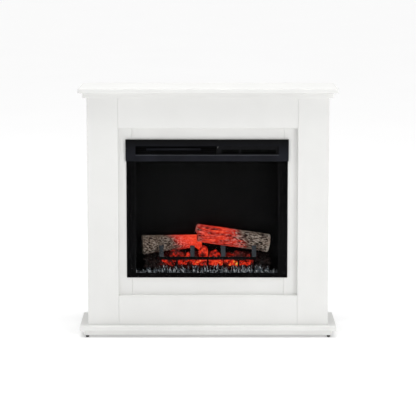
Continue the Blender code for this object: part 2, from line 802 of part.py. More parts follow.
def make_chamber(screen, coal, iron, bark, crystal):
    """Flame screen, ember bed, grate, logs and the row of glass chips."""
    x0, x1 = INSERT_X - ROOM_HALF, INSERT_X + ROOM_HALF
    screen_y = FACE_Y + SCREEN_SETBACK
    board(
        "flame_screen",
        (x0, screen_y, FLOOR_Z + 0.062),
        (x1, screen_y + SCREEN, HEATER_SHELF_Z - GAP),
        screen,
    )
    skin = [
        (FACE_Y + 0.030, FLOOR_Z + 0.004),
        (FACE_Y + 0.038, FLOOR_Z + 0.052),
        (FACE_Y + 0.066, FLOOR_Z + 0.070),
        (screen_y - 0.003, FLOOR_Z + 0.078),
        (screen_y - 0.003, FLOOR_Z + 0.004),
    ]
    inside = [
        (y + (BED_WALL if number < 3 else -BED_WALL), z - (BED_WALL if 0 < number < 4 else 0))
        for number, (y, z) in enumerate(skin)
    ]
    prism(
        "ember_bed",
        skin + inside[::-1],
        "X",
        x0 + BED_SIDE_MARGIN,
        x1 - BED_SIDE_MARGIN,
        coal,
    )
    chips = [
        (FACE_Y + 0.003, FLOOR_Z),
        (FACE_Y + 0.018, FLOOR_Z),
        (FACE_Y + 0.016, FLOOR_Z + 0.022),
        (FACE_Y + 0.008, FLOOR_Z + 0.024),
    ]
    prism("glass_chips", chips, "X", x0 + CHIPS_SIDE_MARGIN, x1 - CHIPS_SIDE_MARGIN, crystal)
    make_grate(iron)
    # Each log is set by its inner end: a narrower room shortens it from its outer end
    inner = Vector((INSERT_X - 0.024, FACE_Y + 0.0855, FLOOR_Z + 0.1220))
    run = inner.x - (x0 + LOG_LEFT_CLEARANCE)
    outer = inner - run * Vector((1, *LOG_LEFT_SLOPES))
    log("left_log", outer, inner, 0.0225 + LOG_LEFT_TAPER * run, 0.0225, bark)
    inner = Vector((INSERT_X - 0.044, FACE_Y + 0.0375, FLOOR_Z + 0.1615))
    run = x1 - LOG_RIGHT_CLEARANCE - inner.x
    outer = inner + run * Vector((1, *LOG_RIGHT_SLOPES))
    log("right_log", inner, outer, 0.0335, 0.0335 + LOG_RIGHT_TAPER * run, bark)


def log(name, start, end, start_radius, end_radius, finish):
    """A tapered trunk between two points, its ends cut square to it."""
    start, end = Vector(start), Vector(end)
    run = end - start
    shape = bmesh.new()
    bmesh.ops.create_cone(
        shape,
        cap_ends=True,
        segments=LOG_SIDES,
        radius1=start_radius,
        radius2=end_radius,
        depth=run.length,
    )
    turn = run.to_track_quat("Z", "Y").to_matrix().to_4x4()
    bmesh.ops.transform(shape, matrix=turn, verts=shape.verts)
    place(name, shape, finish, (start + end) / 2)


def make_grate(finish):
    """A fret with four uprights on one bar, standing on three short legs."""
    bar_low, bar_high = FLOOR_Z + GRATE_BAR_Z, FLOOR_Z + GRATE_BAR_Z + GRATE_BAR
    half = GRATE_BAR_WIDTH / 2
    span = (GRATE_UPRIGHTS - 1) * GRATE_PITCH / 2
    left = INSERT_X + GRATE_X - span
    right = left + 2 * span
    outline = [(left - half - GRATE_OVERHANG, bar_low), (left - half - GRATE_OVERHANG, bar_high)]
    for number in range(GRATE_UPRIGHTS):
        x = left + number * GRATE_PITCH
        outline += [
            (x - half, bar_high),
            (x - half, FLOOR_Z + GRATE_TOP),
            (x + half, FLOOR_Z + GRATE_TOP),
            (x + half, bar_high),
        ]
    outline += [(right + half + GRATE_OVERHANG, bar_high), (right + half + GRATE_OVERHANG, bar_low)]
    for number in reversed(range(GRATE_UPRIGHTS - 1)):
        x = left + (number + 0.5) * GRATE_PITCH
        outline += [
            (x + half / 2, bar_low),
            (x + half / 2, FLOOR_Z),
            (x - half / 2, FLOOR_Z),
            (x - half / 2, bar_low),
        ]
    front = FACE_Y + GRATE_SETBACK
    prism("grate", outline, "Y", front, front + GRATE_THICKNESS, finish)


def make_flicker(mirror, motor_steel, zinc, board_green):
    """The turning rod with its mirror flags, its motor and bearing, and both light boards."""
    x0, x1 = INSERT_X - ROOM_HALF, INSERT_X + ROOM_HALF
    screen_back = FACE_Y + SCREEN_SETBACK + SCREEN
    axis = ((screen_back + ROOM_BACK_Y) / 2, FLOOR_Z + ROTOR_LIFT)
    bearing_end = x0 + 0.024
    motor_start = x1 - ROTOR_MOTOR_LENGTH
    left, right = x0 + 0.012, motor_start - GAP

    length = right - left
    rod = turned(
        "flicker_rotor",
        [(0, -length / 2), (ROTOR_ROD, -length / 2), (ROTOR_ROD, length / 2), (0, length / 2)],
        "X",
        ((left + right) / 2, *axis),
        mirror,
        steps=16,
    )
    shape = bmesh.new()
    span = right - bearing_end - ROTOR_FLAG_LENGTH - 0.012
    for number in range(ROTOR_FLAGS):
        x = bearing_end + 0.006 + span * number / (ROTOR_FLAGS - 1) - (left + right) / 2
        low = (x, -ROTOR_FLAG_REACH, -ROTOR_FLAG / 2)
        high = (x + ROTOR_FLAG_LENGTH, ROTOR_FLAG_REACH, ROTOR_FLAG / 2)
        flag = add_box(shape, low, high)
        turn = Matrix.Rotation(math.radians(75 * number + 10), 4, "X")
        bmesh.ops.transform(shape, matrix=turn, verts=flag)
    flags = place("add_rotor_flags", shape, None, ((left + right) / 2, *axis))
    join(rod, flags, "UNION")

    radius, long = ROTOR_MOTOR_RADIUS, ROTOR_MOTOR_LENGTH
    turned(
        "flicker_motor",
        [(0, 0), (0.006, 0), (0.006, 0.003), (radius, 0.003), (radius, long), (0, long)],
        "X",
        (motor_start, *axis),
        motor_steel,
    )
    bearing_x = x0 + 0.015
    bearing = board(
        "rotor_bearing",
        (bearing_x, axis[0] - 0.012, FLOOR_Z),
        (bearing_x + BRACKET, axis[0] + 0.012, axis[1] + 0.012),
        zinc,
    )
    pivot = hole("cut_bearing", "X", (bearing_x, *axis), ROTOR_ROD + 0.0002, 0.02)
    join(bearing, pivot, "DIFFERENCE")

    for word, y0, y1 in (
        ("ember_light_board", FACE_Y + 0.050, FACE_Y + 0.085),
        ("flame_light_board", axis[0] - 0.013, axis[0] + 0.013),
    ):
        board(
            word,
            (x0 + LIGHT_BOARD_MARGIN, y0, FLOOR_Z + 0.004),
            (x1 - LIGHT_BOARD_MARGIN, y1, FLOOR_Z + 0.004 + BOARD_THICKNESS),
            board_green,
        )


def make_cable_entry(plastic, black_rubber):
    """The gland in the casing's back and the terminal block inside it."""
    x, z = GLAND_X, GLAND_Z
    turned(
        "cable_gland",
        [
            (GLAND_BORE, 0),
            (GLAND_RADIUS, 0),
            (GLAND_RADIUS, GLAND_LENGTH * 0.3),
            (GLAND_RADIUS * 0.75, GLAND_LENGTH * 0.4),
            (GLAND_RADIUS * 0.65, GLAND_LENGTH),
            (GLAND_BORE, GLAND_LENGTH),
        ],
        "Y",
        (x, CASING_BACK_Y + GAP, z),
        black_rubber,
        steps=24,
        ring=True,
    )
    depth, height, poles, pitch = 0.012, 0.016, 4, 0.009
    outline = [(0.0, 0.0), (poles * pitch, 0.0)]
    for number in reversed(range(poles)):
        outline += [
            (number * pitch + pitch * 0.85, height),
            (number * pitch + pitch * 0.15, height),
        ]
        if number:
            outline.append((number * pitch, height * 0.6))
    left = x - poles * pitch - 0.030
    outline = [(left + a, z - 0.010 + b) for a, b in outline]
    prism("terminal_block", outline, "Y", ROOM_BACK_Y - depth, ROOM_BACK_Y, plastic)


def main():
    for old in list(bpy.data.objects):
        bpy.data.objects.remove(old, do_unlink=True)

    white = material("white_satin_paint", (0.84, 0.85, 0.85), 0.38)
    rubber = material("black_rubber", (0.02, 0.02, 0.02), 0.7)
    zinc = material("zinc_plated_steel", (0.55, 0.56, 0.57), 0.35, metallic=1.0)
    steel = material("black_coated_steel", (0.012, 0.012, 0.013), 0.45)
    header_steel = material("charcoal_coated_steel", (0.024, 0.026, 0.030), 0.4)
    glass = material("tinted_glass", (0.01, 0.01, 0.012), 0.03, alpha=0.35)
    plastic = material("black_plastic", (0.012, 0.012, 0.013), 0.4)
    board_green = material("circuit_board", (0.02, 0.09, 0.04), 0.5)
    ceramic = material("heater_ceramic", (0.55, 0.53, 0.49), 0.6)
    motor_steel = material("motor_steel", (0.45, 0.45, 0.46), 0.4, metallic=1.0)
    screen = material("smoked_acrylic", (0.01, 0.01, 0.012), 0.1)
    coal = material("ember_resin", (0.55, 0.03, 0.01), 0.4)
    iron = material("slate_coated_iron", (0.05, 0.06, 0.07), 0.5)
    bark = material("log_resin", (0.16, 0.12, 0.10), 0.8)
    crystal = material("clear_glass_chips", (0.55, 0.62, 0.66), 0.08, alpha=0.5)
    mirror = material("polished_aluminium", (0.85, 0.86, 0.87), 0.08, metallic=1.0)

    make_surround(white, rubber, zinc)
    make_casing(steel, zinc)
    make_front(header_steel, glass, steel)
    make_controls(plastic, board_green)
    make_heater(zinc, plastic, ceramic, motor_steel)
    make_chamber(screen, coal, iron, bark, crystal)
    make_flicker(mirror, motor_steel, zinc, board_green)
    make_cable_entry(plastic, rubber)


main()
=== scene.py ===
"""Looks of a free-standing electric fireplace: a white surround with a glass-fronted insert."""

import json
import math
import random

import bmesh
import bpy
from mathutils import Matrix, Vector, noise


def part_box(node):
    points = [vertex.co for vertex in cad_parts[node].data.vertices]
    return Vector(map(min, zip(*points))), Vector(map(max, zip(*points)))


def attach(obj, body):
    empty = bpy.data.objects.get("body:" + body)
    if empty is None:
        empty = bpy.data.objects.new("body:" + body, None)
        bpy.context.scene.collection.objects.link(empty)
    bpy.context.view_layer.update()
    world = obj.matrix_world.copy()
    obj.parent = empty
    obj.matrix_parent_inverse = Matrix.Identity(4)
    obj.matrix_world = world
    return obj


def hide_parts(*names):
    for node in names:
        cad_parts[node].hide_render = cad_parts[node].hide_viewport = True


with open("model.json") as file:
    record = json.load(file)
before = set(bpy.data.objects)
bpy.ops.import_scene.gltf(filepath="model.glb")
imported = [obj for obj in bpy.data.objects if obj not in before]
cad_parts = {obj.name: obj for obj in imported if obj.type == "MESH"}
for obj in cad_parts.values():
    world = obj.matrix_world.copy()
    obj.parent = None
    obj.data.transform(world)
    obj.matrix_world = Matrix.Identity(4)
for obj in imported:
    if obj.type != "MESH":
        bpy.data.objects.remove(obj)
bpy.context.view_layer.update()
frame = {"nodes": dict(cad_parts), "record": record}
nodes = frame["nodes"]

MM = 0.001
SHEET = 1.5 * MM  # thickness of the insert's sheet steel
PLATE_LAP = 6 * MM  # how far the control plate and the louvre reach behind the slot's edge


# ---------------------------------------------------------------- small helpers


def linear(code):
    """An sRGB hex colour as linear numbers."""
    parts = [int(code[i : i + 2], 16) / 255 for i in (1, 3, 5)]
    return [c / 12.92 if c <= 0.04045 else ((c + 0.055) / 1.055) ** 2.4 for c in parts]


def rgba(code):
    return (*linear(code), 1.0)


def node(tree, kind, inputs=None, **settings):
    """Add a shader node. Each input takes a plain value or another node's output."""
    made = tree.nodes.new("ShaderNode" + kind)
    for word, value in settings.items():
        setattr(made, word, value)
    for socket, value in (inputs or {}).items():
        if isinstance(value, bpy.types.NodeSocket):
            tree.links.new(value, made.inputs[socket])
        else:
            made.inputs[socket].default_value = value
    return made


def new_material(name, **values):
    """A Principled material; spaces in its sockets' names are written as underscores."""
    made = bpy.data.materials.new(name)
    made.use_nodes = True
    shader = made.node_tree.nodes["Principled BSDF"]
    for word, value in values.items():
        shader.inputs[word.replace("_", " ")].default_value = value
    return made, made.node_tree, shader


def ramp(tree, factor, stops):
    """A colour ramp through (place, hex colour) stops."""
    made = node(tree, "ValToRGB", {"Fac": factor})
    elements = made.color_ramp.elements
    elements[0].position, elements[0].color = stops[0][0], rgba(stops[0][1])
    elements[1].position, elements[1].color = stops[-1][0], rgba(stops[-1][1])
    for where, code in stops[1:-1]:
        elements.new(where).color = rgba(code)
    return made.outputs["Color"]


def attribute(tree, name):
    """A value that the mesh carries at each of its points."""
    return node(tree, "Attribute", attribute_name=name).outputs["Fac"]


def mix(tree, share, first, second, blend="MIX"):
    wants = {"Fac": share, "Color1": first, "Color2": second}
    return node(tree, "MixRGB", wants, blend_type=blend).outputs["Color"]


def times(tree, first, second):
    return node(tree, "Math", {0: first, 1: second}, operation="MULTIPLY").outputs["Value"]


def grain(tree, size_mm, stretch=(1, 1, 1), detail=3.0, roughness=0.55):
    """Noise on object coordinates whose lumps are about size_mm across."""
    where = node(tree, "TexCoord").outputs["Object"]
    placed = node(tree, "Mapping", {"Vector": where, "Scale": stretch}).outputs["Vector"]
    wants = {"Vector": placed, "Scale": 1000 / size_mm, "Detail": detail, "Roughness": roughness}
    return node(tree, "TexNoise", wants).outputs["Fac"]


def span(tree, factor, low, high, start=0.0, end=1.0):
    """Map a factor from start..end to low..high."""
    wants = {"Value": factor, "From Min": start, "From Max": end, "To Min": low, "To Max": high}
    return node(tree, "MapRange", wants).outputs["Result"]


def bump(tree, shader, height, depth_mm, strength):
    made = node(tree, "Bump", {"Height": height, "Distance": depth_mm * MM, "Strength": strength})
    tree.links.new(made.outputs["Normal"], shader.inputs["Normal"])


def patterned(name, size_mm, stops, stretch=(1, 1, 1), detail=3.0, **values):
    """A material whose colour drifts through the stops over lumps about size_mm across."""
    made, tree, shader = new_material(name, **values)
    tone = ramp(tree, grain(tree, size_mm, stretch, detail), stops)
    tree.links.new(tone, shader.inputs["Base Color"])
    return made, tree, shader


# ---------------------------------------------------------------- materials


def white_lacquer():
    """Satin white lacquer sprayed on fibreboard: nearly flat, with a faint orange peel.
    The real peel is 1 to 2 mm across; it is drawn at 5 mm so that it shows at all."""
    stops = [(0.3, "#E1E1DF"), (0.7, "#E6E6E4")]
    made, tree, shader = patterned(
        "satin_lacquered_fibreboard", 220, stops, detail=2, Roughness=0.36
    )
    tree.links.new(span(tree, grain(tree, 30), 0.32, 0.42), shader.inputs["Roughness"])
    bump(tree, shader, grain(tree, 5, detail=1), 0.05, 0.35)
    return made


def powder_coat(name, dark, light, roughness, gloss, grit_mm=1.6):
    """Powder-coated sheet steel: a fine pebbled skin.
    The true grit is about 0.3 mm across; it is drawn coarser so that it shows at all."""
    made, tree, shader = patterned(
        name, 60, [(0.35, dark), (0.65, light)], Roughness=roughness, Specular_IOR_Level=gloss
    )
    cloudy = span(tree, grain(tree, 8), roughness - 0.06, roughness + 0.08)
    tree.links.new(cloudy, shader.inputs["Roughness"])
    bump(tree, shader, grain(tree, grit_mm, detail=2), 0.12, 0.4)
    return made


def header_coat():
    """Charcoal powder coat over the folded header, with painted shade: its colour darkens towards
    the top fold.
    """
    made = powder_coat("charcoal_powder_coat", "#15161B", "#1B1C22", 0.45, 0.07)
    tree = made.node_tree
    shader = tree.nodes["Principled BSDF"]
    # Painted shade: from 30 % of the header's height up to its top, the colour is mixed towards
    # near black
    low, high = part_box("firebox_header")
    tone = shader.inputs["Base Color"].links[0].from_socket
    where = node(tree, "TexCoord").outputs["Object"]
    level = node(tree, "SeparateXYZ", {"Vector": where}).outputs["Z"]
    share = span(tree, level, 0, 1, low.z + 0.3 * (high.z - low.z), high.z)
    tree.links.new(mix(tree, share, tone, rgba("#030303")), shader.inputs["Base Color"])
    return made


def moulded(name, dark, light, roughness, grit_mm=1.2, gloss=0.15):
    """Moulded polymer with a fine spark-eroded texture."""
    made, tree, shader = patterned(
        name, 25, [(0.35, dark), (0.65, light)], Roughness=roughness, Specular_IOR_Level=gloss
    )
    bump(tree, shader, grain(tree, grit_mm, detail=1), 0.06, 0.3)
    return made


def bare_metal(name, dark, light, roughness, stretch=(1, 1, 1)):
    """Plated or polished metal with streaks or spangle from how it was made."""
    made, tree, shader = patterned(
        name, 12, [(0.3, dark), (0.7, light)], stretch, Metallic=1.0, Roughness=roughness
    )
    cloudy = span(tree, grain(tree, 5, stretch), roughness * 0.7, roughness * 1.4)
    tree.links.new(cloudy, shader.inputs["Roughness"])
    return made


def tinted_glass():
    """Grey-tinted toughened glass with an anti-glare coat, so that it mirrors the room only faintly
    and keeps the dark parts behind it dark."""
    made, tree, shader = new_material(
        "coated_grey_toughened_glass",
        Base_Color=rgba("#050506"),
        Alpha=0.12,
        IOR=1.5,
        Specular_IOR_Level=0.04,
    )
    tree.links.new(span(tree, grain(tree, 90), 0.02, 0.05), shader.inputs["Roughness"])
    return made


def glass_print():
    """Black ceramic ink fired on the back of the glass along its edges."""
    stops = [(0.3, "#060607"), (0.7, "#09090A")]
    made, tree, shader = patterned(
        "fired_black_ceramic_ink", 40, stops, IOR=1.5, Specular_IOR_Level=0.04
    )
    tree.links.new(span(tree, grain(tree, 4), 0.18, 0.26), shader.inputs["Roughness"])
    return made


def smoked_acrylic():
    """Smoked acrylic sheet that carries the projected flames; dark while it is unlit."""
    stops = [(0.3, "#070707"), (0.7, "#0B0B0B")]
    return patterned(
        "smoked_acrylic_sheet", 160, stops, Roughness=0.4, Specular_IOR_Level=0.06
    )[0]


def log_material():
    """Cast resin painted as bark: dry grey-brown scales with dark cracks, and an orange-red glow
    where the lamps behind the skin shine through, broken by ash and by streaks along the grain."""
    made, tree, shader = new_material(
        "painted_cast_resin_bark", Roughness=0.85, Specular_IOR_Level=0.25, Emission_Strength=1.0
    )
    ridge = attribute(tree, "ridge")
    glow = attribute(tree, "glow")
    calm = attribute(tree, "calm")
    fleck = grain(tree, 7, (0.5, 1, 1), detail=5, roughness=0.65)
    height = mix(tree, 0.42, ridge, fleck)

    cold_stops = [(0.30, "#0B0806"), (0.44, "#3B3029"), (0.55, "#7D6F64"), (0.70, "#CDC1B4")]
    tint = ramp(tree, grain(tree, 45), [(0.35, "#C9AF9C"), (0.65, "#FFFFFF")])
    bark = mix(tree, 0.6, ramp(tree, height, cold_stops), tint, "MULTIPLY")
    ash = ramp(tree, height, [(0.36, "#0C0302"), (0.58, "#200B0A"), (0.78, "#52332D")])
    pale = ramp(tree, height, [(0.34, "#5A1E16"), (0.70, "#B4665A")])
    skin = mix(tree, glow, bark, mix(tree, calm, ash, pale))
    tree.links.new(skin, shader.inputs["Base Color"])

    # Where calm is low the glow breaks up along the grain and at the cracks; where it is high, a
    # soft veil is all that is left of the grain
    streak = grain(tree, 10, (0.13, 1, 1), detail=6, roughness=0.62)
    broken = span(tree, streak, 0.16, 1.25, 0.38, 0.62)
    cracked = span(tree, height, 0.6, 1.0, 0.34, 0.56)
    soft = span(tree, streak, 0.56, 1.04, 0.34, 0.66)
    lit = times(tree, glow, mix(tree, calm, times(tree, broken, cracked), soft))
    fire_stops = [(0.0, "#000000"), (0.12, "#4A0604"), (0.4, "#BC1A0C"), (0.7, "#E82E12")]
    fire = ramp(tree, lit, [*fire_stops, (1.0, "#FF4C1E")])
    tree.links.new(fire, shader.inputs["Emission Color"])
    bump(tree, shader, height, 1.6, 0.7)
    return made


def coal_material():
    """Translucent cast resin coals: a dark crust with red light in the lumps nearest the lamps."""
    made, tree, shader = new_material(
        "cast_resin_coals", Roughness=0.6, Specular_IOR_Level=0.2, Emission_Strength=1.0
    )
    crust = grain(tree, 14, detail=5, roughness=0.65)
    tone = ramp(tree, crust, [(0.35, "#0C0908"), (0.65, "#2A1714")])
    tree.links.new(tone, shader.inputs["Base Color"])
    thin = span(tree, crust, 0.2, 1.25, 0.38, 0.66)
    lit = times(tree, attribute(tree, "coal_warmth"), thin)
    red_stops = [(0.0, "#000000"), (0.2, "#3D0503"), (0.5, "#DC2814"), (0.75, "#FF4626")]
    fire = ramp(tree, lit, [*red_stops, (0.95, "#FF6A34"), (1.0, "#FFC84A")])
    tree.links.new(fire, shader.inputs["Emission Color"])
    bump(tree, shader, crust, 1.2, 0.6)
    return made


def crystal():
    """Clear broken glass with a cold tint and nearly clear bodies; its small patches from dark to
    near white are painted highlights on the facets.
    """
    # Painted highlights: the near-white stop stands for glints on the facets; the blue-grey is the
    # glass's own tint
    stops = [(0.36, "#39444B"), (0.5, "#8796A0"), (0.62, "#F4F9FC")]
    made, tree, shader = patterned("clear_cullet_painted_glints", 9, stops, detail=1, IOR=1.5, Alpha=0.72)
    tree.links.new(span(tree, grain(tree, 6), 0.03, 0.12), shader.inputs["Roughness"])
    return made


def circuit_board():
    """Black solder mask over copper tracks, which show through as thin lighter lines."""
    stops = [(0.46, "#030504"), (0.5, "#0B150F"), (0.54, "#030504")]
    values = {"Roughness": 0.35, "Specular_IOR_Level": 0.05}
    return patterned("black_solder_masked_laminate", 5, stops, (3, 0.4, 1), 0, **values)[0]


def vulcanised_rubber():
    """Moulded black rubber, dull with a grey bloom."""
    stops = [(0.35, "#151515"), (0.65, "#232323")]
    made, tree, shader = patterned("moulded_nitrile_rubber", 6, stops, Roughness=0.72)
    bump(tree, shader, grain(tree, 1.5), 0.1, 0.3)
    return made


finishes = {
    "painted_board": white_lacquer(),
    "header_steel": header_coat(),
    "casing_steel": powder_coat("black_powder_coat", "#09090A", "#0E0E0F", 0.5, 0.08),
    "front_glass": tinted_glass(),
    "flame_screen": smoked_acrylic(),
    "log_resin": log_material(),
    "ember_resin": coal_material(),
    "grate_iron": powder_coat("slate_coated_casting", "#2C3136", "#3F464D", 0.55, 0.3, 2.5),
    "glass_chips": crystal(),
    "zinc_steel": bare_metal("zinc_plated_steel", "#8E9396", "#B9BDC0", 0.34),
    "motor_steel": bare_metal("rolled_motor_steel", "#6F7173", "#94979A", 0.4, (1, 0.2, 0.2)),
    "mirror_strip": bare_metal("bright_rolled_aluminium", "#CFD2D4", "#E6E8EA", 0.12, (0.2, 1, 1)),
    "heater_ceramic": moulded("unglazed_heater_ceramic", "#A59F92", "#BDB7AA", 0.75),
    "black_plastic": moulded("black_abs", "#101012", "#17171A", 0.45),
    "circuit_board": circuit_board(),
    "black_rubber": vulcanised_rubber(),
}
ink = glass_print()
# A lighter, glossier copy of the header's charcoal coat for the slot's lip: the lighter colour is a
# painted highlight
lip_coat_painted_highlight = powder_coat("charcoal_coat_painted_highlight", "#2B2D33", "#34373E", 0.3, 0.5)
# A near-black copy of the black ABS for the button caps, shared by the power rocker: darker as
# painted shade in the recessed button windows
shaded_cap_plastic = moulded("black_abs_painted_shade", "#020202", "#040405", 0.45, gloss=0.03)
frosted_edge = moulded("frosted_grey_acrylic", "#4E565B", "#646D73", 0.6, 3.0)
plate_plastic = moulded("satin_black_abs", "#0E0E10", "#131315", 0.55, gloss=0.07)

slot_of = {entry["node"]: entry["material_slot"] for entry in frame["record"]["subparts"]}
for name, obj in nodes.items():
    for index in range(len(obj.data.materials)):
        obj.data.materials[index] = finishes[slot_of[name]]
nodes["control_plate"].data.materials[0] = plate_plastic
nodes["power_rocker"].data.materials[0] = shaded_cap_plastic


# ---------------------------------------------------------------- shapes


def place(name, shape, slot, body="fireplace", stands_for=(), finish=None, smooth=None):
    """Make the object of a bmesh, give it its finish and let it ride on its body."""
    mesh = bpy.data.meshes.new(name)
    shape.to_mesh(mesh)
    shape.free()
    mesh.materials.append(finish or finishes[slot])
    if smooth:
        mesh.shade_smooth()
        mesh.set_sharp_from_angle(angle=math.radians(smooth))
    made = bpy.data.objects.new(name, mesh)
    bpy.context.scene.collection.objects.link(made)
    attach(made, body)
    if stands_for:
        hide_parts(*stands_for)
    return made


def even_normals(obj):
    """Keep large flat faces flat beside their small rounded edges."""
    even = obj.modifiers.new("even_normals", "WEIGHTED_NORMAL")
    even.weight = 100
    even.keep_sharp = True
    return obj


def add_box(shape, low, high):
    low, high = Vector(low), Vector(high)
    at = Matrix.Translation((low + high) / 2) @ Matrix.Diagonal((*(high - low), 1.0))
    return bmesh.ops.create_cube(shape, size=1.0, matrix=at)["verts"]


def round_edges(shape, edges, radius, segments=3):
    bmesh.ops.bevel(
        shape,
        geom=list(edges),
        offset=radius,
        offset_type="OFFSET",
        segments=segments,
        profile=0.5,
        affect="EDGES",
        clamp_overlap=True,
        material=-1,
    )


def turned(outline, steps):
    """A solid turned about the Z axis from an outline of (radius, height) points."""
    shape = bmesh.new()
    points = [shape.verts.new((radius, 0, height)) for radius, height in outline]
    edges = [shape.edges.new(pair) for pair in zip(points, points[1:])]
    bmesh.ops.spin(
        shape,
        geom=points + edges,
        cent=(0, 0, 0),
        axis=(0, 0, 1),
        angle=math.tau,
        steps=steps,
        use_merge=True,
    )
    bmesh.ops.remove_doubles(shape, verts=shape.verts, dist=1e-6)
    bmesh.ops.recalc_face_normals(shape, faces=shape.faces)
    return shape


def make_boards():
    """Every painted board, with the rounding that a sander leaves before the lacquer."""
    soft_edge = {"mantel_shelf": 2.2, "hearth_slab": 2.2, "shelf_moulding": 1.6, "hearth_base": 1.6}
    for name, slot in slot_of.items():
        if slot == "painted_board":
            shape = bmesh.new()
            add_box(shape, *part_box(name))
            round_edges(shape, shape.edges, soft_edge.get(name, 1.2) * MM)
            board = place(f"{name}_board", shape, slot, stands_for=[name], smooth=50)
            even_normals(board)


def make_screen_skirt():
    """A black sheet that closes the gap from the flame screen down to the casing's floor."""
    low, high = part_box("flame_screen")
    _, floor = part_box("casing_floor")
    gap = 0.3 * MM
    shape = bmesh.new()
    add_box(shape, (low.x, low.y, floor.z + gap), (high.x, low.y + SHEET, low.z - gap))
    round_edges(shape, shape.edges, 0.4 * MM, 2)
    place("screen_skirt", shape, "casing_steel", smooth=40)


def make_feet():
    """Round rubber glides with a bevelled rim."""
    for name in [n for n in nodes if n.startswith("foot_")]:
        low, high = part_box(name)
        middle = (low + high) / 2
        radius, height = (high.x - low.x) / 2, high.z - low.z
        # Sole, bevelled rim, side and shoulder, as shares of the radius and the height
        profile = [(0, 0), (0.8, 0), (1, 0.25), (1, 0.8), (0.9, 1), (0, 1)]
        shape = turned([(radius * r, low.z + height * z) for r, z in profile], 40)
        bmesh.ops.translate(shape, vec=(middle.x, middle.y, 0), verts=shape.verts)
        place(f"{name}_glide", shape, "black_rubber", stands_for=[name], smooth=40)


def make_header():
    """Header folded from one sheet, with returned edges round its rim and round its slot."""
    low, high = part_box("firebox_header")
    plate_low, plate_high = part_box("control_plate")
    louvre_low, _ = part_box("outlet_louvre")
    slot_x = (louvre_low.x + PLATE_LAP, plate_high.x - PLATE_LAP)
    slot_z = (plate_low.z + PLATE_LAP, plate_high.z - PLATE_LAP)
    slot_return = 7.5 * MM
    fold_radius = 0.7 * MM

    shape = bmesh.new()
    bmesh.ops.create_grid(shape, x_segments=3, y_segments=3, size=1.0)
    columns = [low.x, slot_x[0], slot_x[1], high.x]
    rows = [low.z, slot_z[0], slot_z[1], high.z]
    for point in shape.verts:
        column = round((point.co.x + 1) * 1.5)
        row = round((point.co.y + 1) * 1.5)
        point.co = Vector((columns[column], low.y, rows[row]))
    centre = ((slot_x[0] + slot_x[1]) / 2, (slot_z[0] + slot_z[1]) / 2)
    hole = min(
        shape.faces,
        key=lambda f: (f.calc_center_median().xz - Vector(centre)).length,
    )
    bmesh.ops.delete(shape, geom=[hole], context="FACES_ONLY")
    rims = [e for e in shape.edges if e.is_boundary]
    grown = bmesh.ops.extrude_edge_only(shape, edges=rims)["geom"]
    back = [v for v in grown if isinstance(v, bmesh.types.BMVert)]
    for point in back:
        inner = slot_x[0] - 1e-5 < point.co.x < slot_x[1] + 1e-5
        inner = inner and slot_z[0] - 1e-5 < point.co.z < slot_z[1] + 1e-5
        point.co.y = low.y + slot_return if inner else high.y
    bmesh.ops.recalc_face_normals(shape, faces=shape.faces)
    front = min(shape.faces, key=lambda f: f.calc_center_median().y)
    if front.normal.y > 0:
        bmesh.ops.reverse_faces(shape, faces=shape.faces)
    made = place("header_panel", shape, "header_steel", stands_for=["firebox_header"])
    wall = made.modifiers.new("sheet", "SOLIDIFY")
    wall.thickness = SHEET
    wall.offset = -1
    wall.use_even_offset = True
    fold = made.modifiers.new("folds", "BEVEL")
    fold.width = fold_radius
    fold.segments = 3
    fold.limit_method = "ANGLE"
    made.data.shade_smooth()
    even_normals(made)

    # The rolled lower lip of the slot stands a hair proud and catches the light; its coat is a
    # lighter, glossier copy of the header's, and the lighter colour is a painted highlight
    lip = bmesh.new()
    radius = 1.6 * MM
    bmesh.ops.create_cone(
        lip,
        cap_ends=True,
        segments=20,
        radius1=radius,
        radius2=radius,
        depth=slot_x[1] - slot_x[0],
        matrix=Matrix.Translation((centre[0], low.y + radius, slot_z[0] + 0.3 * MM))
        @ Matrix.Rotation(math.pi / 2, 4, "Y"),
    )
    ends = [e for e in lip.edges if abs(e.verts[0].co.x - e.verts[1].co.x) < 1e-6]
    round_edges(lip, ends, 0.4 * MM, 2)
    place("slot_lip", lip, "header_steel", finish=lip_coat_painted_highlight, smooth=40)


